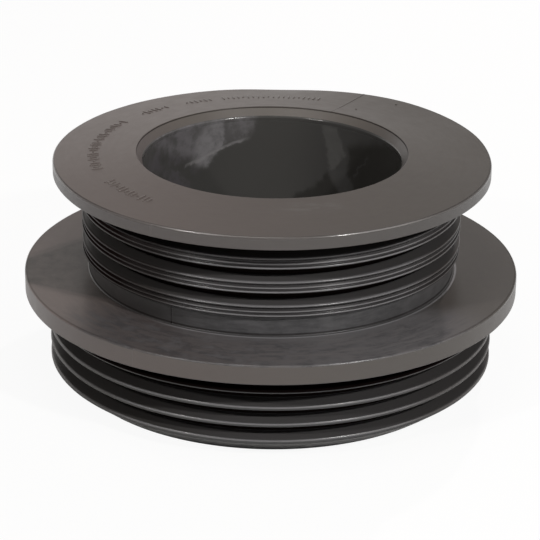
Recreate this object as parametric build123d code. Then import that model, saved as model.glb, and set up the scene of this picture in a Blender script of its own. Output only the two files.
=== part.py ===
from build123d import *

import os

# Rubber pipe adapter, moulded in one piece.
# A plastic pipe is pushed into the bore from above. The stepped outside goes into a larger
# drain pipe: the lower tier of lips seals in a wide pipe, and with the lower tier cut away
# at the plain wall, the upper tier of fins seals in a narrower one.
# Millimetres, +Z up, origin at the centre of the ring that the adapter stands on.

# Bore and the sleeve around it
bore_diameter = 106.0  # grips a pipe of 110 mm outside diameter by stretching
lead_in_width = 2.7  # how far the mouth opens beyond the bore, on the radius
lead_in_depth = 2.8
mouth_step = 0.6  # short upright edge at the top of the lead-in
sleeve_wall = 6.0
sleeve_lift = 3.0  # the sleeve ends this far above the ring that stands on the floor

# Upper tier, from the bore outwards
upper_wall = 18.7
fin_reach = 6.7
plain_wall_step = 4.1  # the plain wall stands out from the root of the fins
top_flange_overhang = 11.6

# Lower tier, from the sleeve outwards
recess_width = 20.0  # open ring that cores out the lower tier from below
lower_wall = 7.0
lip_reach = 6.8
lower_flange_overhang = 9.8

# Heights of the lower tier, from the floor upwards
nose_height = 7.3
nose_width = 9.6  # how far the leading cone draws in on the radius
lip_count = 4
lip_pitch = 7.15
lip_tip_thickness = 1.7
lip_top_rise = 0.9  # the top of a lip climbs this much towards its root
lip_under_drop = 2.4  # and its underside falls this much
lower_gap = 7.6  # from the middle of the top lip's edge to the lower flange
lower_flange_thickness = 8.1

# Heights of the upper tier
plain_wall_height = 9.15
fin_count = 3
fin_pitch = 9.95
fin_edge_height = 4.7
fin_top_rise = 0.9
fin_under_drop = 1.2
upper_gap = 7.95  # from the shoulder of the top fin to the top flange
top_rim_height = 5.3
top_crown = 2.7  # the top face climbs this much from its rim to the mouth

# The two fine grooves that run round the edge of each fin, and the ridge between them,
# as heights above the fin's lower corner and depths in from its edge
upper_groove_height = 3.2
upper_groove_depth = 0.8
middle_ridge_height = 2.1
middle_ridge_setback = 0.3
lower_groove_height = 1.2
lower_groove_depth = 0.5

# Radii, each built outwards from the bore
bore_radius = bore_diameter / 2
mouth_radius = bore_radius + lead_in_width
sleeve_radius = bore_radius + sleeve_wall
fin_root_radius = bore_radius + upper_wall
plain_wall_radius = fin_root_radius + plain_wall_step
fin_radius = fin_root_radius + fin_reach
top_flange_radius = fin_radius + top_flange_overhang
lower_inside_radius = sleeve_radius + recess_width
lip_root_radius = lower_inside_radius + lower_wall
lip_radius = lip_root_radius + lip_reach
lower_flange_radius = lip_radius + lower_flange_overhang
nose_radius = lip_radius - nose_width

# Heights, each stacked on the one below
lowest_lip_height = nose_height + lip_tip_thickness / 2
highest_lip_height = lowest_lip_height + (lip_count - 1) * lip_pitch
lower_flange_underside = highest_lip_height + lower_gap
lower_flange_top = lower_flange_underside + lower_flange_thickness
lowest_fin_height = lower_flange_top + plain_wall_height
highest_fin_height = lowest_fin_height + (fin_count - 1) * fin_pitch
top_flange_underside = highest_fin_height + fin_edge_height + upper_gap
top_rim = top_flange_underside + top_rim_height
mouth_height = top_rim + top_crown


def top_flange():
    """The crowned top face, the rim and the flat underside, from the mouth outwards."""
    return [
        (mouth_radius, mouth_height),
        (top_flange_radius, top_rim),
        (top_flange_radius, top_flange_underside),
        (fin_root_radius, top_flange_underside),
    ]


def upper_fin(height):
    """A stiff fin with its lower corner at this height, whose edge has two grooves."""
    return [
        (fin_root_radius, height + fin_edge_height + fin_top_rise),
        (fin_radius, height + fin_edge_height),
        (fin_radius - upper_groove_depth, height + upper_groove_height),
        (fin_radius - middle_ridge_setback, height + middle_ridge_height),
        (fin_radius - lower_groove_depth, height + lower_groove_height),
        (fin_radius, height),
    ]


def fin_gap(height):
    """The root under a fin, which the fin's conical underside closes in on."""
    return [(fin_root_radius, height - fin_under_drop)]


def lower_flange():
    """The wide flange between the tiers, from the plain wall outwards and back in."""
    return [
        (plain_wall_radius, lowest_fin_height),
        (plain_wall_radius, lower_flange_top),
        (lower_flange_radius, lower_flange_top),
        (lower_flange_radius, lower_flange_underside),
        (lip_root_radius, lower_flange_underside),
    ]


def lip_edge(height):
    """The upper side and the blunt tip of a lip, whose tip has its middle at this height."""
    return [
        (lip_root_radius, height + lip_tip_thickness / 2 + lip_top_rise),
        (lip_radius, height + lip_tip_thickness / 2),
        (lip_radius, height - lip_tip_thickness / 2),
    ]


def lip_gap(height):
    """The root under a lip, which the lip's conical underside closes in on."""
    return [(lip_root_radius, height - lip_tip_thickness / 2 - lip_under_drop)]


def nose():
    """The lowest lip, whose underside is the cone that leads into the pipe."""
    return lip_edge(lowest_lip_height) + [
        (nose_radius, 0),
        (lower_inside_radius, 0),
    ]


def underside():
    """The open ring under the lower tier, the sleeve, and the bore up to the mouth."""
    return [
        (lower_inside_radius, lower_flange_underside),
        (sleeve_radius, lower_flange_underside),
        (sleeve_radius, sleeve_lift),
        (bore_radius, sleeve_lift),
        (bore_radius, mouth_height - mouth_step - lead_in_depth),
        (mouth_radius, mouth_height - mouth_step),
    ]


def section():
    """The whole closed section, on one side of the axis."""
    corners = top_flange()
    for number in range(fin_count):
        fin_height = highest_fin_height - number * fin_pitch
        corners += upper_fin(fin_height)
        if number < fin_count - 1:
            corners += fin_gap(fin_height)
    corners += lower_flange()
    for number in range(lip_count - 1):
        lip_height = highest_lip_height - number * lip_pitch
        corners += lip_edge(lip_height) + lip_gap(lip_height)
    return corners + nose() + underside()


with BuildPart() as adapter:
    with BuildSketch(Plane.XZ):
        with BuildLine():
            Polyline(*section(), close=True)
        make_face()
    revolve(axis=Axis.Z)

os.makedirs("parts", exist_ok=True)
export_step(adapter.part, "parts/adapter_body.step")
print("bore radius", bore_radius, "mouth height", round(mouth_height, 3))
print("top flange", top_flange_radius, "fins", fin_radius, "plain wall", plain_wall_radius)
print("lower flange", lower_flange_radius, "lips", lip_radius, "nose", nose_radius)
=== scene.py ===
import bpy
import math
import numpy as np
from mathutils import Matrix


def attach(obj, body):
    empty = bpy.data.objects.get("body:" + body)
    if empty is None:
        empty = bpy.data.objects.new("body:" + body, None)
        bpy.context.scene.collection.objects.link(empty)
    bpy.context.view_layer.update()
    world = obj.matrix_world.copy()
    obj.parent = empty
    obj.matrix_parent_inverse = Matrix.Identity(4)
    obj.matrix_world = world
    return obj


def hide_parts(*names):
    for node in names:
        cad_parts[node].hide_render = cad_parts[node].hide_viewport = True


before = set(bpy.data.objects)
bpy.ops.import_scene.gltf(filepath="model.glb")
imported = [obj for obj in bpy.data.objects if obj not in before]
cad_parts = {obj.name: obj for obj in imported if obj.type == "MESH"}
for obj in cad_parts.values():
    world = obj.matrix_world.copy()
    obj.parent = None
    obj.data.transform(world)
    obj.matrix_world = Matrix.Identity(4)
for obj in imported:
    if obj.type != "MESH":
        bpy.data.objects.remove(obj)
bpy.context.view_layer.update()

from types import SimpleNamespace

# The adapter body
# One piece of black rubber, pressed in a mould that parts along two upright lines and over a
# core that leaves the bore. Lengths here are in millimetres and go into the mesh as metres.
metres_per_mm = 0.001
bore_radius = 53.0
mouth_radius = 55.7
sleeve_radius = 59.0
fin_root_radius = 71.7
plain_wall_radius = 75.8
fin_radius = 78.4
skirt_inside_radius = 79.0
nose_radius = 83.2
lip_root_radius = 86.0
top_flange_radius = 90.0
lip_radius = 92.8
lower_flange_radius = 102.6
sleeve_end = 3.0
nose_height = 7.3
lower_flange_underside = 37.2
lower_flange_top = 45.3
top_flange_underside = 87.0
bore_top = 91.0
top_rim = 92.3
mouth_height = 95.0
mouth_step = 0.6
lip_pitch = 7.15
lip_count = 4
lip_thickness = 1.7
lip_top_rise = 0.9
lip_under_drop = 2.4
highest_lip = nose_height + (lip_count - 1) * lip_pitch
fin_pitch = 9.95
fin_count = 3
lowest_fin = 54.45
fin_edge_height = 4.7
fin_top_rise = 0.9
fin_under_drop = 1.2
highest_fin = lowest_fin + (fin_count - 1) * fin_pitch

# Roundings of the moulded edges
edge_round = 0.85
lip_round = 0.8
root_round = 0.6
underside_round = 0.35
ridge_round = 0.28
crisp_round = 0.2


def fin_section(low):
    """Corners of one fin, as radius, height and rounding, from its root downwards."""
    high = low + fin_edge_height
    return [
        (fin_root_radius, high + fin_top_rise, root_round),
        (fin_radius, high, 0.5),
        (fin_radius, low + 3.95, ridge_round),
        (fin_radius - 0.75, low + 3.2, 0.35),
        (fin_radius - 0.25, low + 2.15, ridge_round),
        (fin_radius - 0.6, low + 1.4, 0.3),
        (fin_radius, low + 0.75, ridge_round),
        (fin_radius, low, 0.3),
    ]


def lip_section(low):
    """Corners of one lip, as radius, height and rounding, from its root to its tip."""
    return [
        (lip_root_radius, low + lip_thickness + lip_top_rise, root_round),
        (lip_radius, low + lip_thickness, lip_round),
        (lip_radius, low, lip_round),
    ]


section = [
    (mouth_radius, mouth_height, 0.3),
    (top_flange_radius, top_rim, edge_round),
    (top_flange_radius, top_flange_underside, underside_round),
    (fin_root_radius, top_flange_underside, root_round),
]
for number in reversed(range(fin_count)):
    low = lowest_fin + number * fin_pitch
    section += fin_section(low)
    if number > 0:
        section += [(fin_root_radius, low - fin_under_drop, root_round)]
section += [
    (plain_wall_radius, lowest_fin, crisp_round),
    (plain_wall_radius, lower_flange_top, 0.75),
    (lower_flange_radius, lower_flange_top, edge_round),
    (lower_flange_radius, lower_flange_underside, underside_round),
    (lip_root_radius, lower_flange_underside, root_round),
]
for number in reversed(range(lip_count)):
    low = nose_height + number * lip_pitch
    section += lip_section(low)
    if number > 0:
        section += [(lip_root_radius, low - lip_under_drop, root_round)]
section += [
    (nose_radius, 0.0, 0.8),
    (skirt_inside_radius, 0.0, 0.8),
    (skirt_inside_radius, lower_flange_underside, 2.0),
    (sleeve_radius, lower_flange_underside, 2.0),
    (sleeve_radius, sleeve_end, 1.0),
    (bore_radius, sleeve_end, 1.0),
    (bore_radius, bore_top, 1.3),
    (mouth_radius, mouth_height - mouth_step, crisp_round),
]
longest_step = 4.5
arc_turn_per_step = math.radians(30)


def round_the_section(corners):
    """Points and outward normals round the closed section, with a real arc at each corner.

    An arc of radius q that turns by t starts and ends q * tan(t / 2) from its corner. Along it
    the normal turns evenly, and each point is the arc's centre plus q times its normal, or
    minus it in a hollow corner. Between arcs the line is cut into equal steps.
    """
    table = np.array(corners)
    here = table[:, :2]
    run_in = here - np.roll(here, 1, axis=0)
    run_out = np.roll(here, -1, axis=0) - here
    run_in /= np.linalg.norm(run_in, axis=1)[:, None]
    run_out /= np.linalg.norm(run_out, axis=1)[:, None]
    turn = np.arctan2(
        run_in[:, 0] * run_out[:, 1] - run_in[:, 1] * run_out[:, 0],
        (run_in * run_out).sum(axis=1),
    )
    cut = table[:, 2] * np.tan(np.abs(turn) / 2)
    start = here - run_in * cut[:, None]
    end = here + run_out * cut[:, None]
    points = []
    normals = []
    for number in range(len(corners)):
        steps = max(2, math.ceil(abs(turn[number]) / arc_turn_per_step))
        share = np.linspace(0, 1, steps + 1)
        heading = math.atan2(run_in[number, 1], run_in[number, 0]) + turn[number] * share
        outward = np.stack([-np.sin(heading), np.cos(heading)], axis=1)
        bulge = -np.sign(turn[number]) * table[number, 2]
        centre = start[number] - outward[0] * bulge
        points.append(centre + outward * bulge)
        normals.append(outward)
        following = (number + 1) % len(corners)
        length = np.linalg.norm(start[following] - end[number])
        pieces = math.ceil(length / longest_step)
        share = np.arange(1, pieces) / pieces
        points.append(end[number] + (start[following] - end[number]) * share[:, None])
        normals.append(np.repeat(outward[-1:], pieces - 1, axis=0))
    return np.concatenate(points), np.concatenate(normals)


# Round the body: even steps, and fine ones across the two lines where the mould parts
even_angles = 320
parting_angles = [math.radians(63), math.radians(239.4)]
parting_half_width = 0.0042
parting_height = 0.14
fine_steps = np.array([-1.6, -1.0, -0.5, 0.0, 0.5, 1.0, 1.6]) * parting_half_width
angles = np.linspace(0, 2 * math.pi, even_angles, endpoint=False)
for parting in parting_angles:
    angles = angles[np.abs(angles - parting) > 2 * parting_half_width]
    angles = np.append(angles, parting + fine_steps)
angles = np.sort(angles)

# Bumps of the warped top flange, each as height, middle and width, the last two in degrees
flange_bumps = [(1.35, 48, 25), (0.55, 17, 15), (-0.8, 88, 12), (0.45, 192, 20), (-0.15, 115, 20)]
warp_start_radius = 63.7
warp_start_height = 82.0
warp_full_height = 86.0

# Waves of the outer edges, each as height, count round the body and phase
rim_waves = [(0.05, 3, 0.4), (0.035, 7, 2.1), (0.02, 19, 0.0)]
waves_start_radius = 88.0

# The lips lean to the right as a whole, by a little that fades out under the lower flange
lip_lean = 0.2
lean_start_radius = 84.0
lean_fade = 3.0


def flange_lift(radius, angle):
    """How far the top flange has warped: the sum of Gauss curves of the angle.

    They grow from nothing at the start radius to the rim, with the power 1.6 of the way out.
    """
    reach = np.clip((radius - warp_start_radius) / (top_flange_radius - warp_start_radius), 0, 1)
    lift = 0.0
    for bump_height, middle, width in flange_bumps:
        away = np.angle(np.exp(1j * (angle - math.radians(middle))))
        lift = lift + bump_height * np.exp(-((away / math.radians(width)) ** 2))
    return lift * reach**1.6


def rim_waver(angle):
    """Small unevenness of the outer edges, the sum of sine waves round the body."""
    return sum(size * np.sin(count * angle + phase) for size, count, phase in rim_waves)


def parting_ridge(angle):
    """Height of the fine flash line at both mould joints, as a tent over the joint's angle."""
    height = np.zeros_like(angle)
    for parting in parting_angles:
        height += np.clip(1 - np.abs(angle - parting) / parting_half_width, 0, 1)
    return height * parting_height


def rubber_mesh(name, places, faces, marks, material):
    """A smooth mesh object of places in millimetres, with point attributes by name."""
    mesh = bpy.data.meshes.new(name)
    mesh.from_pydata((places.reshape(-1, 3) * metres_per_mm).tolist(), [], faces)
    for label, values in marks.items():
        layer = mesh.attributes.new(label, "FLOAT", "POINT")
        layer.data.foreach_set("value", values.reshape(-1).astype(np.float32))
    mesh.polygons.foreach_set("use_smooth", np.ones(len(faces), dtype=bool))
    mesh.materials.append(material)
    made = bpy.data.objects.new(name, mesh)
    bpy.context.scene.collection.objects.link(made)
    return made


def closed_grid(name, places, normals, marks, material):
    """A mesh from a grid of points that closes on itself both ways, with its own normals.

    places and normals are arrays of rows by columns by 3. Row i, column j is joined to the
    next row and the next column.
    """
    rows, columns = places.shape[:2]
    index = np.arange(rows * columns).reshape(rows, columns)
    next_row = np.roll(index, -1, axis=0)
    next_column = np.roll(index, -1, axis=1)
    both = np.roll(next_row, -1, axis=1)
    quads = np.stack([index, next_column, both, next_row], axis=-1).reshape(-1, 4)
    made = rubber_mesh(name, places, quads.tolist(), marks, material)
    made.data.normals_split_custom_set_from_vertices(normals.reshape(-1, 3).tolist())
    return made


class Wire:
    """An output of a material's nodes, on which arithmetic adds the Math nodes it needs.

    A wire without a socket only starts a tree: it makes the first nodes.
    """

    def __init__(self, tree, socket=None):
        self.tree = tree
        self.socket = socket

    def node(self, kind, settings, inputs, output=0):
        """A new node of this kind, with its settings first and then its sockets."""
        made = self.tree.nodes.new(kind)
        for name, value in settings.items():
            setattr(made, name, value)
        for name, value in inputs.items():
            if isinstance(value, Wire):
                self.tree.links.new(value.socket, made.inputs[name])
            else:
                made.inputs[name].default_value = value
        return Wire(self.tree, made.outputs[output])

    def math(self, operation, first, second):
        """The Math node's operation on two values, each a wire or a number."""
        return self.node("ShaderNodeMath", {"operation": operation}, {0: first, 1: second})

    def __add__(self, other):
        return self.math("ADD", self, other)

    def __sub__(self, other):
        return self.math("SUBTRACT", self, other)

    def __rsub__(self, other):
        return self.math("SUBTRACT", other, self)

    def __mul__(self, other):
        return self.math("MULTIPLY", self, other)

    def __mod__(self, other):
        return self.math("FLOORED_MODULO", self, other)

    __radd__ = __add__
    __rmul__ = __mul__

    def step(self, low, high, at_low=0.0, at_high=1.0):
        """A smooth rise from at_low to at_high while this value goes from low to high."""
        return self.node(
            "ShaderNodeMapRange",
            {"interpolation_type": "SMOOTHSTEP"},
            {"Value": self, "From Min": low, "From Max": high, "To Min": at_low, "To Max": at_high},
        )

    def within(self, low, high, soft):
        """1 where this value lies between low and high, over soft edges of this half width."""
        return self.step(low - soft, low + soft) * self.step(high - soft, high + soft, 1.0, 0.0)

    def blend(self, first, second):
        """The first colour where this value is 0 and the second where it is 1."""
        return self.node(
            "ShaderNodeMix",
            {"data_type": "RGBA", "clamp_factor": True},
            {0: self, 6: first, 7: second},
            output=2,
        )

    def inside_of(self, other, corners, soft):
        """1 inside a convex shape, with this value and the other as its two coordinates.

        corners go round the shape with its inside on the left of each edge. The share is the
        product over the edges of a soft step of the distance from the edge.
        """
        share = 1.0
        for number, (x, y) in enumerate(corners):
            next_x, next_y = corners[(number + 1) % len(corners)]
            length = math.hypot(next_x - x, next_y - y)
            across = (y - next_y) / length
            along = (next_x - x) / length
            distance = self * across + other * along - (x * across + y * along)
            share = distance.step(-soft, soft) * share
        return share

    def axis(self, number):
        """One of the three numbers of this place."""
        return self.node("ShaderNodeSeparateXYZ", {}, {0: self}, output=number)

    def noise(self, scale, detail, roughness):
        """Soft noise, 0 to 1, with this many cells to a unit of this place."""
        return self.node(
            "ShaderNodeTexNoise",
            {"noise_dimensions": "3D"},
            {"Vector": self, "Scale": scale, "Detail": detail, "Roughness": roughness},
        )


def painted(coat, layers):
    """The coat with one colour after another laid over it, each by its own share."""
    for share, colour in layers:
        coat = share.blend(coat, colour)
    return coat


def spot_on_body(start):
    """What the rubber's look depends on: where a place lies, and noises of several sizes.

    Where it lies on the section comes from two point attributes, its radius and its height in
    millimetres before the flange's warp. Its angle round the body is in degrees.
    """
    place = start.node("ShaderNodeTexCoord", {}, {}, output="Object")
    radius = start.node("ShaderNodeAttribute", {"attribute_name": "profile_radius"}, {}, "Fac")
    height = start.node("ShaderNodeAttribute", {"attribute_name": "profile_height"}, {}, "Fac")
    x = place.axis(0)
    y = place.axis(1)

    # For grain that runs round the body, the direction counts little and the radius, or on
    # the wall the height, counts much
    per_radius = start.math("DIVIDE", 1 / metres_per_mm, radius)
    outward_x = x * per_radius
    outward_y = y * per_radius
    by_radius = start.node(
        "ShaderNodeCombineXYZ", {}, {0: outward_x * 4, 1: outward_y * 4, 2: radius * 0.24}
    )
    by_height = start.node(
        "ShaderNodeCombineXYZ", {}, {0: outward_x * 7, 1: outward_y * 7, 2: height * 0.5}
    )
    return SimpleNamespace(
        x=x,
        y=y,
        radius=radius,
        height=height,
        turned=start.math("ARCTAN2", y, x) * (180 / math.pi),
        clouds=place.noise(28, 3.0, 0.55),
        mottle=place.noise(170, 4.0, 0.62),
        grain=place.noise(1400, 2.0, 0.5),
        brushed=by_radius.noise(2.2, 4.0, 0.62),
        smear=by_height.noise(1.6, 4.0, 0.6),
    )


def parts_of_section(spot):
    """Shares, 1 on the part and 0 off it, of the parts of the section that look different."""
    radius = spot.radius
    height = spot.height
    part = SimpleNamespace()

    on_lips = height.within(nose_height - 0.1, lower_flange_underside - 0.5, 0.2)
    on_lips = on_lips * radius.step(lip_root_radius - 2, lip_root_radius - 1)
    above_lip = (height - nose_height) % lip_pitch
    lip_top = lip_thickness + lip_top_rise
    lip_groove = on_lips * above_lip.step(lip_top + 0.05, lip_top + 0.3)
    top_lip = on_lips * height.step(highest_lip + 0.45, highest_lip + 0.7)
    part.lip_face = on_lips * above_lip.within(lip_thickness + 0.02, lip_top - 0.05, 0.06)
    part.lip_face = part.lip_face * radius.step(lip_root_radius, lip_root_radius + 0.6)
    part.lip_tip = on_lips * above_lip.within(0.95, 1.50, 0.14)
    part.lip_tip = part.lip_tip * radius.step(lip_radius - 0.9, lip_radius - 0.6)

    on_fins = height.within(lowest_fin - 0.4, top_flange_underside + 0.2, 0.15)
    on_fins = on_fins * radius.within(fin_root_radius - 1, fin_radius + 5, 0.5)
    above_fin = (height - lowest_fin) % fin_pitch
    fin_top = fin_edge_height + fin_top_rise
    over_fins = height.step(highest_fin + fin_top - 0.2, highest_fin + fin_top)
    fin_groove = on_fins * (above_fin.step(fin_top - 0.15, fin_top + 0.05) + over_fins)
    part.fin_edge = on_fins * radius.step(fin_radius - 1.1, fin_radius - 0.8)
    part.fin_face = on_fins * (1 - part.fin_edge)
    part.fin_face = part.fin_face * above_fin.within(fin_edge_height - 0.05, fin_top - 0.1, 0.05)
    # Painted highlight lines: the three ridges along each fin's edge
    fin_highlight_lines = above_fin.within(4.3, 4.95, 0.12)
    fin_highlight_lines = fin_highlight_lines + above_fin.within(1.85, 2.45, 0.14) + above_fin.within(0.35, 0.9, 0.12)

    part.top_face = height.step(top_rim - 0.6, top_rim - 0.2)
    part.top_face = part.top_face * radius.step(mouth_radius + 0.1, mouth_radius + 0.3)
    part.top_side = height.step(top_flange_underside + 0.1, top_flange_underside + 0.4)
    part.top_side = part.top_side * radius.step(top_flange_radius - 1.0, top_flange_radius - 0.6)
    part.ledge = height.within(lower_flange_top - 0.7, lower_flange_top + 0.5, 0.2)
    part.ledge = part.ledge * radius.step(plain_wall_radius + 0.5, plain_wall_radius + 1.0)
    at_low_rim = radius.step(lower_flange_radius - 1.2, lower_flange_radius - 0.8)
    part.low_side = height.within(lower_flange_underside + 0.3, lower_flange_top - 0.1, 0.1)
    part.low_side = part.low_side * at_low_rim
    part.open = part.top_face + part.top_side + part.ledge + part.low_side
    part.wall = height.within(lower_flange_top + 0.3, lowest_fin - 0.05, 0.3)
    part.wall = part.wall * radius.within(plain_wall_radius - 0.8, plain_wall_radius + 1.2, 0.3)
    part.lead_in = height.step(bore_top - 0.1, bore_top + 0.2)
    part.lead_in = part.lead_in * radius.within(bore_radius + 0.4, mouth_radius + 0.2, 0.15)
    part.bore = radius.step(bore_radius + 0.35, bore_radius + 0.5, 1.0, 0.0)
    part.bore = part.bore * height.step(sleeve_end + 0.5, sleeve_end + 1.5)
    part.foot = part.ledge * radius.within(plain_wall_radius + 0.9, plain_wall_radius + 1.7, 0.2)
    part.rim_edge = height.within(top_rim - 0.5, top_rim - 0.05, 0.08)
    part.rim_edge = part.rim_edge * radius.step(top_flange_radius - 0.8, top_flange_radius - 0.5)

    # Tips left without their painted highlight and their shine: on the right and left, and on the
    # fins from further in on the left
    part.to_side = (spot.x * spot.x).step(0.0025, 0.0045)
    dim_left = on_fins * spot.x.step(-0.026, -0.048)
    part.dull_tips = part.to_side.math("MAXIMUM", part.to_side, dim_left)
    part.tips = part.lip_tip + part.fin_edge * fin_highlight_lines

    # Painted shade where light hardly falls, deep black or partly so: grooves, undersides, corners
    # and fine lines; the mould joints are real dark lines
    under_top = height.within(top_flange_underside - 0.3, top_flange_underside + 0.15, 0.1)
    under_top = under_top * radius.step(64, 66)
    under_low = height.within(lower_flange_underside - 0.3, lower_flange_underside + 0.05, 0.05)
    under_low = under_low * radius.step(skirt_inside_radius + 2, skirt_inside_radius + 4)
    wall_top = height.within(lowest_fin - 0.65, lowest_fin + 0.25, 0.08)
    wall_top = wall_top * radius.within(fin_root_radius - 1.7, plain_wall_radius + 1.2, 0.2)
    part.black = lip_groove + top_lip + fin_groove + under_top + under_low + wall_top
    # Painted shade between the fin's highlight lines, darker to the sides, and over the left fins'
    # edges
    between_lines = part.fin_edge * (1 - fin_highlight_lines)
    part.black = part.black + between_lines * (0.42 + part.to_side * 0.3)
    part.black = part.black + part.fin_edge * dim_left * 0.4
    # Painted shade: a dark line in the mouth's step and along the foot of the wall
    mouth_line = height.step(mouth_height - 0.7, mouth_height - 0.5)
    mouth_line = mouth_line * radius.step(mouth_radius + 0.2, mouth_radius)
    foot_line = height.within(lower_flange_top + 0.3, lower_flange_top + 1.2, 0.12)
    foot_line = foot_line * radius.within(plain_wall_radius - 0.8, plain_wall_radius + 0.7, 0.2)
    part.black = part.black + mouth_line * 0.6 + foot_line * 0.6
    # Painted dark reflection along the outer edges of the top rim and the ledge, on the sides only
    rim_line = height.within(top_rim - 0.25, top_rim + 0.1, 0.06)
    rim_line = rim_line * radius.step(top_flange_radius - 1.1, top_flange_radius - 0.8)
    ledge_line = height.within(lower_flange_top - 0.2, lower_flange_top + 0.2, 0.05) * at_low_rim
    part.black = part.black + (rim_line + ledge_line) * part.to_side * 0.25
    wall_joint = spot.turned.within(-120.78, -120.42, 0.06) * part.wall
    face_joint = spot.turned.within(62.9, 63.1, 0.06) * part.top_face
    part.black = part.black + (wall_joint + face_joint) * 0.5
    return part


def outside_coat(spot, part):
    """Colour of the outside: bare black, and a warm grey bloom on what lies open, with painted
    light, shade and highlights laid over them.
    """
    # Painted light and shade: bare rubber, the wall and the faces are lighter in front, darkest to
    # the left and partly darker to the right
    lit_in_front = spot.x.step(-0.056, -0.008) * spot.x.step(0.02, 0.08, 1.0, 0.55)
    to_right = spot.x.step(-0.08, 0.08)
    bare = lit_in_front.blend((0.033, 0.032, 0.031, 1), (0.040, 0.040, 0.042, 1))
    wall_grey = lit_in_front.blend((0.034, 0.031, 0.031, 1), (0.096, 0.095, 0.100, 1))
    wall_share = spot.smear.step(0.32, 0.68) * 0.42 + spot.mottle.step(0.35, 0.65) * 0.30
    face_grey = lit_in_front.blend((0.034, 0.032, 0.031, 1), (0.058, 0.056, 0.057, 1))
    # The bloom is real; its being lighter on the left and darker on the right is painted light and
    # shade
    bloom = to_right.blend((0.088, 0.073, 0.068, 1), (0.064, 0.058, 0.053, 1))
    # Painted highlight on the top rim's rounded edge: faint all round, strong on two spans in front
    rim_highlight_spans = spot.x.within(-0.040, -0.020, 0.006) + spot.x.within(0.024, 0.058, 0.008)
    # Painted light: the far left of the ledge lighter and pinker
    far_left_painted_light = spot.x.step(-0.060, -0.086) * spot.y.step(0.03, -0.01)
    # Painted light and shade on the lead-in: light grey at the far side, darker at the sides,
    # darkest on the right
    lead_in_side_shade = to_right.blend((0.082, 0.070, 0.068, 1), (0.020, 0.014, 0.012, 1))
    lead_in_painted_light = spot.y.step(0.0, 0.045).blend(lead_in_side_shade, (0.103, 0.092, 0.084, 1))
    # Painted highlight on the lip tips and fin ridges, dim grey where it fades at the sides
    tip_highlight_grey = part.dull_tips.blend((0.142, 0.140, 0.146, 1), (0.050, 0.045, 0.044, 1))
    layers = [
        (part.wall * (0.16 + wall_share), wall_grey),
        (part.lip_face + part.fin_face, face_grey),
        (part.open * (0.86 + spot.clouds * 0.28), bloom),
        # Painted shade: the upright sides of the top flange darker than its top face
        (part.top_side * 0.5, (0.052, 0.049, 0.049, 1)),
        (part.rim_edge * (0.12 + rim_highlight_spans * 0.30), (0.33, 0.32, 0.32, 1)),
        (part.ledge * far_left_painted_light * 0.7, (0.132, 0.107, 0.100, 1)),
        (part.lead_in, lead_in_painted_light),
        (part.tips, tip_highlight_grey),
    ]
    return painted(bare, layers)


def ledge_coat(coat, spot, part):
    """The ledge over this coat: a bluer grey in front, with dark streaks round it.

    Pale scuffs lie on it and a brown tinge on its front left. Painted shadow darkens a wedge on its
    far left, and a painted highlight runs along the foot of the wall. The bluer grey in front is
    painted shade and light, darker on the left and lighter on the right. Fingers left faint smudges
    on the front of the top face.
    """
    x = spot.x
    y = spot.y
    in_front = y.step(-0.040, -0.060) * x.step(-0.088, -0.062) * x.step(0.092, 0.062)
    # Painted shade and light: the front of the ledge a bluer grey, darker on the left and lighter
    # on the right
    front_grey = x.step(-0.08, 0.08).blend((0.060, 0.054, 0.055, 1), (0.118, 0.114, 0.119, 1))
    brown = x.within(-0.070, -0.015, 0.020) * y.step(-0.030, -0.055)
    brown = brown * spot.brushed.step(0.40, 0.58)
    off_wall = spot.radius.step(78.5, 83.0)
    by_wall = (1 - off_wall) * in_front * x.step(-0.046, -0.018)
    by_wall = by_wall * spot.brushed.step(0.42, 0.58, 0.9, 0.2)
    wiped = in_front * off_wall * spot.brushed.step(0.43, 0.58)
    scuffed = (spot.brushed * 0.55 + spot.mottle * 0.45).step(0.50, 0.58)
    scuffed = scuffed * (0.10 + in_front * 0.5) * x.step(-0.07, 0.0, 0.45, 1.0)
    # Painted shadow: a darker mottled wedge on the far left of the ledge
    dull = (x * 1000).inside_of(
        y * 1000,
        [(-106.0, -22.5), (-62.0, -43.0), (-60.0, 25.0), (-76.0, 25.0), (-106.0, -4.0)],
        1.2,
    )
    smudge = spot.turned.within(-88, -66, 4) * spot.radius.within(60, 70, 3)
    smudge = smudge * spot.brushed.step(0.46, 0.62)
    layers = [
        (part.ledge * in_front * 0.8, front_grey),
        (part.ledge * brown * 0.75, (0.048, 0.038, 0.036, 1)),
        (part.ledge * by_wall, (0.098, 0.097, 0.102, 1)),
        (part.ledge * wiped * 0.65, (0.044, 0.044, 0.048, 1)),
        (part.ledge * scuffed, (0.108, 0.104, 0.108, 1)),
        (part.ledge * dull * (0.56 + (spot.mottle - 0.5) * 1.3), (0.038, 0.035, 0.031, 1)),
        (part.top_face * smudge * 0.35, (0.115, 0.110, 0.108, 1)),
        # Painted highlight along the foot of the wall, from the front left to the right
        (part.foot * x.step(-0.050, -0.030) * 0.8, (0.240, 0.238, 0.250, 1)),
    ]
    return painted(coat, layers)


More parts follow.
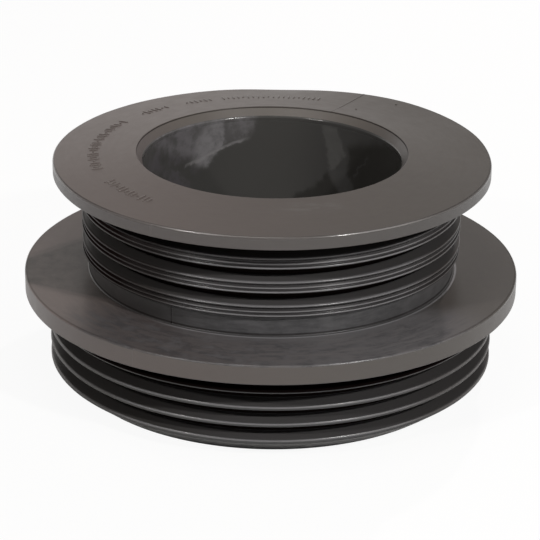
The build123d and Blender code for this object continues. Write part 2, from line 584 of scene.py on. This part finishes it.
def bore_coat(spot):
    """Colour of the bore: creased paler patches on dark grey, over painted light on its left and
    painted shade on its right.

    The corners of the patches are given as degrees round the bore and heights, both shaken a
    little by noise.
    """
    mottle = spot.mottle
    turned = spot.turned
    waver = (mottle - 0.5) * 9 + (spot.clouds - 0.5) * 9
    across = turned + waver
    up = spot.height + waver * 0.25
    left_cap_painted_light = across.inside_of(
        up, [(168.0, 92.0), (168.0, 99.0), (96.0, 95.0), (101.5, 82.0), (131.8, 76.5)], 2.8
    )
    left_patch_corners = [
        (113.0, 91.0),
        (112.8, 80.3),
        (116.3, 75.7),
        (123.8, 70.4),
        (132.5, 73.8),
        (129.4, 83.5),
        (121.0, 90.0),
    ]
    left_patch = across.inside_of(up, left_patch_corners, 1.8)
    left_patch = left_patch * turned.step(133, 124, 0.45, 1.0)
    crease = across.inside_of(up, [(134.0, 74.0), (98.0, 83.0), (98.0, 82.2), (134.0, 72.2)], 0.5)
    right_patch = across.inside_of(
        up, [(57.0, 89.0), (54.5, 76.0), (62.0, 68.5), (65.0, 89.0)], 1.0
    )
    right_foot = across.inside_of(up, [(52.8, 72.0), (49.0, 60.0), (56.5, 59.0), (62.0, 69.0)], 1.2)
    right_painted_shade = across.step(54.5, 49.5) * (up + across * 0.3).step(100.5, 94.0)
    low_painted_shade = across.inside_of(up, [(80.0, 50.0), (80.0, 54.0), (62.5, 68.5), (54.0, 50.0)], 1.4)
    streak = (across + up * 0.784).within(101.3, 102.6, 0.35) * spot.height.within(68, 80, 1.5)
    left_painted_light = turned.step(118, 140) * turned.step(176, 158)
    cap_share = mottle.step(0.38, 0.64) * 0.45 + spot.clouds * 0.6
    crease_share = mottle.step(0.3, 0.6, 0.3, 0.8) * turned.step(99, 108)
    by_height = spot.height.step(58, 84)
    layers = [
        # Painted shade on the right and low in the bore, painted light on its left and upper left;
        # the patches between are paler grey
        (turned.step(85, 60), (0.050, 0.049, 0.048, 1)),
        (left_painted_light * mottle.step(0.40, 0.62), (0.080, 0.075, 0.081, 1)),
        (left_cap_painted_light * cap_share * turned.step(172, 148), (0.150, 0.144, 0.152, 1)),
        (left_patch * mottle.step(0.35, 0.65, 0.35, 0.95), (0.178, 0.174, 0.181, 1)),
        (crease * crease_share, (0.205, 0.200, 0.205, 1)),
        (right_patch * (0.2 + mottle), (0.088, 0.087, 0.085, 1)),
        (right_painted_shade + low_painted_shade * 0.8, (0.025, 0.024, 0.022, 1)),
        (right_foot * 0.5, (0.060, 0.059, 0.058, 1)),
        (streak * 0.35, (0.070, 0.070, 0.070, 1)),
    ]
    return painted(by_height.blend((0.058, 0.057, 0.055, 1), (0.056, 0.055, 0.053, 1)), layers)


def rubber_material(name):
    """Black rubber with its bloom and its worn shiny edges, with painted highlights and painted
    shade in its grooves and corners.
    """
    material = bpy.data.materials.new(name)
    material.use_nodes = True
    tree = material.node_tree
    shader = tree.nodes["Principled BSDF"]
    start = Wire(tree)
    spot = spot_on_body(start)
    part = parts_of_section(spot)

    coat = ledge_coat(outside_coat(spot, part), spot, part)
    coat = part.bore.blend(coat, bore_coat(spot))
    tree.links.new(coat.socket, shader.inputs["Base Color"])

    worn_rim = part.top_side * spot.height.step(top_rim - 1.0, top_rim - 0.8)
    worn_ledge = spot.height.step(lower_flange_top - 1.0, lower_flange_top - 0.8)
    worn_ledge = part.low_side * worn_ledge * spot.x.step(-0.02, 0.03)
    worn_mouth = part.bore * spot.height.step(bore_top - 1.6, bore_top - 1.2)
    worn_tips = (part.lip_tip + part.fin_edge) * (1 - part.dull_tips)
    worn = worn_rim * 1.4 + worn_ledge + worn_mouth * 0.8 + worn_tips
    rough = 0.38 + (spot.mottle - 0.5) * 0.10 + (spot.brushed - 0.5) * part.open * 0.10
    rough = rough - part.bore * 0.08 - worn * 0.13
    tree.links.new(rough.socket, shader.inputs["Roughness"])
    relief = spot.grain * 0.5 + spot.mottle + spot.brushed * part.open * 0.5
    bump = start.node(
        "ShaderNodeBump", {}, {"Strength": 0.22, "Distance": 0.0001, "Height": relief}
    )
    tree.links.new(bump.socket, shader.inputs["Normal"])

    # Painted shade: where the share rises the skin gives way to a near-black matt diffuse with no
    # gloss; at the mould joints it is their real dark line
    hollow = start.node("ShaderNodeBsdfDiffuse", {}, {"Color": (0.0070, 0.0045, 0.0042, 1)})
    skin = Wire(tree, shader.outputs["BSDF"])
    shade_and_joint_share = start.node("ShaderNodeClamp", {}, {0: part.black})
    look = start.node("ShaderNodeMixShader", {}, {0: shade_and_joint_share, 1: skin, 2: hollow})
    tree.links.new(look.socket, tree.nodes["Material Output"].inputs["Surface"])
    return material


profile, profile_normal = round_the_section(section)
grid_shape = (len(angles), len(profile))
angle = np.broadcast_to(angles[:, None], grid_shape)
radius = np.broadcast_to(profile[:, 0], grid_shape)
height = np.broadcast_to(profile[:, 1], grid_shape)
normal_out = np.broadcast_to(profile_normal[:, 0], grid_shape)
normal_up = np.broadcast_to(profile_normal[:, 1], grid_shape)

# The flash line stands only on upright sides and on the rear of the top face, outside the bore
# and above the face that the adapter stands on
flash_start_radius = 64.0
flash_start_height = 1.5
on_ledge = (np.abs(height - lower_flange_top) < 0.1) & (radius > plain_wall_radius + 1.2)
has_ridge = (radius > flash_start_radius) & (height > flash_start_height) & ~on_ledge
has_ridge &= (height > lower_flange_underside + 1) | (radius > skirt_inside_radius + 1)
has_ridge &= (normal_out > 0.8) | ((height > top_rim) & (angle < math.pi))
ridge = np.where(has_ridge, parting_ridge(angle), 0.0)
in_top_flange = (height - warp_start_height) / (warp_full_height - warp_start_height)
in_top_flange = np.clip(in_top_flange, 0, 1)
lift = flange_lift(radius, angle) * in_top_flange
shrink = np.where(radius > waves_start_radius, -np.abs(rim_waver(angle)), 0.0)
in_lips = np.clip((lower_flange_underside - 1 - height) / lean_fade, 0, 1)
in_lips = in_lips * (radius > lean_start_radius)
body_radius = radius + ridge * normal_out + shrink
body_height = height + ridge * normal_up + lift
body_x = body_radius * np.cos(angle) + lip_lean * in_lips
places = np.stack([body_x, body_radius * np.sin(angle), body_height], axis=-1)

# Slopes of the ridge and of the warp, taken over a tiny step, tilt the section's own normals
tiny = 1e-4
ridge_slope = (parting_ridge(angle + tiny) - parting_ridge(angle - tiny)) / (2 * tiny)
ridge_slope = np.where(has_ridge, ridge_slope, 0.0) / radius
lift_out = (flange_lift(radius + tiny, angle) - flange_lift(radius - tiny, angle)) / (2 * tiny)
lift_round = (flange_lift(radius, angle + tiny) - flange_lift(radius, angle - tiny)) / (2 * tiny)
tilt_out = normal_out - normal_up * lift_out * in_top_flange
tilt_round = -ridge_slope - normal_up * lift_round * in_top_flange / radius
normal_x = tilt_out * np.cos(angle) - tilt_round * np.sin(angle)
normal_y = tilt_out * np.sin(angle) + tilt_round * np.cos(angle)
body_normals = np.stack([normal_x, normal_y, normal_up], axis=-1)
body_normals /= np.linalg.norm(body_normals, axis=-1, keepdims=True)

rubber = rubber_material("rubber")
body_marks = {"profile_radius": radius, "profile_height": height}
body = closed_grid("moulded_rubber_body", places, body_normals, body_marks, rubber)
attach(body, "root")
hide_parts("adapter_body")

# The raised strokes on the top face
# Shallow strokes and dots of the same rubber, which the mould leaves standing along a ring of
# the top face in five groups. They spell nothing: plain strokes, like those of a ruler.
stroke_ring_radius = 73.4
stroke_pitch = 1.75
stroke_groups = [(209, 231), (150, 199), (129, 141), (112, 121), (74, 109)]
stroke_lengths = np.array([5.0, 3.4, 5.0, 1.0, 4.2, 5.0, 2.6, 5.0, 3.8, 1.0, 5.0])
stroke_width = 0.85
stroke_height = 0.30
dome_columns = 14
dome_ring_sizes = np.array([1.0, 1.0, 0.88, 0.6])
dome_ring_heights = np.array([-1.3, 0.25, 0.75, 0.96])
crown_slope = math.atan2(mouth_height - top_rim, top_flange_radius - mouth_radius)


def top_face_frame(radii, turned):
    """Centres on the warped top face, and the two directions along it, outwards and round."""
    drop = (radii - mouth_radius) * math.tan(crown_slope)
    level = mouth_height - drop + flange_lift(radii, turned)
    centres = np.stack([radii * np.cos(turned), radii * np.sin(turned), level], axis=-1)
    flat = math.cos(crown_slope)
    down = np.full_like(turned, -math.sin(crown_slope))
    outwards = np.stack([np.cos(turned) * flat, np.sin(turned) * flat, down], axis=-1)
    around = np.stack([-np.sin(turned), np.cos(turned), np.zeros_like(turned)], axis=-1)
    return centres, outwards, around


def low_domes(name, radii, turned, lengths, widths, heights, material):
    """One mesh of long low domes on the top face, each closed below by a base sunk into it.

    A dome's outline is a superellipse, cos and sin to the power 0.7, scaled by its length and
    width. Its rings step up and in by fixed shares of its height and size, to one top point.
    """
    centres, along, across = top_face_frame(radii, turned)
    outward = np.cross(along, across)
    turn = np.linspace(0, 2 * math.pi, dome_columns, endpoint=False)
    outline_a = np.sign(np.cos(turn)) * np.abs(np.cos(turn)) ** 0.7 / 2
    outline_b = np.sign(np.sin(turn)) * np.abs(np.sin(turn)) ** 0.7 / 2
    a = np.einsum("i,j,k->ijk", lengths, dome_ring_sizes, outline_a)
    b = np.einsum("i,j,k->ijk", widths, dome_ring_sizes, outline_b)
    h = np.einsum("i,j,k->ijk", heights, dome_ring_heights, np.ones(dome_columns))
    rings = (
        centres[:, None, None, :]
        + a[..., None] * along[:, None, None, :]
        + b[..., None] * across[:, None, None, :]
        + h[..., None] * outward[:, None, None, :]
    )
    tops = centres + heights[:, None] * outward
    bases = centres + heights[:, None] * dome_ring_heights[0] * outward
    places = np.concatenate([rings.reshape(-1, 3), tops, bases])

    count = len(centres)
    ring_points = rings[..., 0].size
    index = np.arange(ring_points).reshape(rings.shape[:3])
    beside = np.roll(index, -1, axis=2)
    top_index = ring_points + np.arange(count)[:, None] + np.zeros((1, dome_columns), int)
    sides = np.stack([index[:, :-1], beside[:, :-1], beside[:, 1:], index[:, 1:]], axis=-1)
    caps = np.stack([index[:, -1], beside[:, -1], top_index], axis=-1)
    floors = np.stack([beside[:, 0], index[:, 0], top_index + count], axis=-1)
    faces = sides.reshape(-1, 4).tolist() + caps.reshape(-1, 3).tolist()
    faces += floors.reshape(-1, 3).tolist()
    marks = {
        "profile_radius": np.hypot(places[:, 0], places[:, 1]),
        "profile_height": places[:, 2],
    }
    return rubber_mesh(name, places, faces, marks, material)


stroke_angles = [np.arange(low, high, stroke_pitch) for low, high in stroke_groups]
stroke_angles = np.radians(np.concatenate(stroke_angles))
stroke_count = len(stroke_angles)
strokes = low_domes(
    "raised_strokes",
    np.full(stroke_count, stroke_ring_radius),
    stroke_angles,
    np.resize(stroke_lengths, stroke_count),
    np.full(stroke_count, stroke_width),
    np.full(stroke_count, stroke_height),
    rubber,
)
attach(strokes, "root")

# The moulding nubs
# Small stumps of rubber that the mould's vents and the trimming knife leave on the top face
# and on the edge of the mouth.
nub_radii = np.array([84.0, 66.5, 57.3])
nub_angles = np.radians([50.0, 57.0, 228.0])
nub_lengths = np.array([1.1, 0.9, 1.3])
nub_heights = np.array([0.35, 0.30, 0.07])
nubs = low_domes(
    "moulding_nubs", nub_radii, nub_angles, nub_lengths, nub_lengths * 0.8, nub_heights, rubber
)
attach(nubs, "root")

# The table
# A matt white table top. The camera sees it almost pure white, with the adapter's shadow
# faint on it, and so do reflections, except close to the adapter.
table_reach = 5.0
table_white_share = 0.92
table_mesh = bpy.data.meshes.new("table")
table_corners = [(-table_reach, -table_reach, 0), (table_reach, -table_reach, 0)]
table_corners += [(table_reach, table_reach, 0), (-table_reach, table_reach, 0)]
table_mesh.from_pydata(table_corners, [], [(0, 1, 2, 3)])
table = bpy.data.objects.new("table", table_mesh)
bpy.context.scene.collection.objects.link(table)
table_material = bpy.data.materials.new("table_white")
table_material.use_nodes = True
table_tree = table_material.node_tree
table_tree.nodes.remove(table_tree.nodes["Principled BSDF"])
table_start = Wire(table_tree)
seen = table_start.node("ShaderNodeLightPath", {}, {}, output="Is Camera Ray")
seen_in_gloss = table_start.node("ShaderNodeLightPath", {}, {}, output="Is Glossy Ray")
seen_through = table_start.node("ShaderNodeLightPath", {}, {}, output="Is Transmission Ray")
matt = table_start.node("ShaderNodeBsdfDiffuse", {}, {"Color": (0.82, 0.82, 0.82, 1)})
plain_white = table_start.node(
    "ShaderNodeEmission", {}, {"Color": (1, 1, 1, 1), "Strength": 1.0}
)
table_place = table_start.node("ShaderNodeTexCoord", {}, {}, output="Object")
from_axis = table_start.node(
    "ShaderNodeVectorMath", {"operation": "LENGTH"}, {0: table_place}, output="Value"
)
clear_of_adapter = from_axis.step(0.08, 0.20)
white_share = (seen + (seen_in_gloss + seen_through) * clear_of_adapter) * table_white_share
table_look = table_start.node(
    "ShaderNodeMixShader", {}, {0: white_share, 1: matt, 2: plain_white}
)
table_tree.links.new(table_look.socket, table_tree.nodes["Material Output"].inputs["Surface"])
table_mesh.materials.append(table_material)

# The light
# A white backdrop, brighter on the left, rises behind the table to about a quarter of the way
# up under a dim ceiling. Small lamps stand in front on both sides and behind on the right, and
# a wide soft one hangs above.
ceiling_strength = 0.14
backdrop_strength = 0.86
front_strength = 0.50
world = bpy.data.worlds.new("studio")
bpy.context.scene.world = world
world.use_nodes = True
world_tree = world.node_tree
world_start = Wire(world_tree)
world_seen = world_start.node("ShaderNodeLightPath", {}, {}, output="Is Camera Ray")
direction = world_start.node("ShaderNodeTexCoord", {}, {}, output="Generated")
low_part = direction.axis(2).step(0.24, 0.52, 1.0, 0.0)
behind = direction.axis(1).step(0.1, 0.6)
behind_level = direction.axis(0).step(-0.45, 0.45, 1.5, 0.45) * backdrop_strength
front_level = direction.axis(0).step(-0.7, 0.9, 0.25, 1.5) * front_strength
sides = front_level + behind * (behind_level - front_level)
room = ceiling_strength + (sides - ceiling_strength) * low_part
strength = room + world_seen * (1 - room)
tint = world_seen.blend((1, 0.967, 0.940, 1), (1, 1, 1, 1))
background = world_tree.nodes["Background"]
world_tree.links.new(tint.socket, background.inputs["Color"])
world_tree.links.new(strength.socket, background.inputs["Strength"])

lamp_aim = (0, 0, 0.05)


def soft_lamp(name, place, size, watts, colour):
    """A square lamp at a place in metres, turned so that it shines at the adapter."""
    light = bpy.data.lights.new(name, "AREA")
    light.shape = "SQUARE"
    light.size = size
    light.energy = watts
    light.color = colour
    lamp = bpy.data.objects.new(name, light)
    bpy.context.scene.collection.objects.link(lamp)
    back = np.array(place) - np.array(lamp_aim)
    back = back / np.linalg.norm(back)
    side = np.cross((0.0, 1.0, 0.0), back)
    side = side / np.linalg.norm(side)
    upright = np.cross(back, side)
    turned = np.eye(4)
    turned[:3] = np.stack([side, upright, back, place], axis=1)
    lamp.matrix_world = Matrix(turned.tolist())
    return lamp


soft_lamp("lamp_right", (0.64, -0.79, 0.785), 0.06, 8.6, (1, 0.98, 0.95))
soft_lamp("lamp_left", (-0.70, -0.73, 0.785), 0.06, 4.8, (1, 0.97, 0.94))
soft_lamp("lamp_above", (-0.15, -0.25, 1.20), 0.50, 3.0, (1, 0.97, 0.93))
lamp_back = soft_lamp("lamp_back", (0.44, 0.91, 0.785), 0.04, 6.5, (1, 0.90, 0.89))
lamp_back.visible_glossy = False

# The camera
# It stands in front and looks down on the adapter, turned a little about its own line of sight.
camera_place = (-0.0003, -0.84670, 0.39755)
camera_down_angle = math.radians(22.814)
camera_roll = math.radians(0.724)
lens_mm = 145.80
sensor_mm = 36.0
camera_data = bpy.data.cameras.new("camera")
camera_data.sensor_width = sensor_mm
camera_data.lens = lens_mm
camera = bpy.data.objects.new("camera", camera_data)
bpy.context.scene.collection.objects.link(camera)
look_down = Matrix.Rotation(math.pi / 2 - camera_down_angle, 4, "X")
roll = Matrix.Rotation(camera_roll, 4, "Z")
camera.matrix_world = Matrix.Translation(camera_place) @ look_down @ roll
bpy.context.scene.camera = camera
bpy.context.scene.view_settings.view_transform = "Standard"
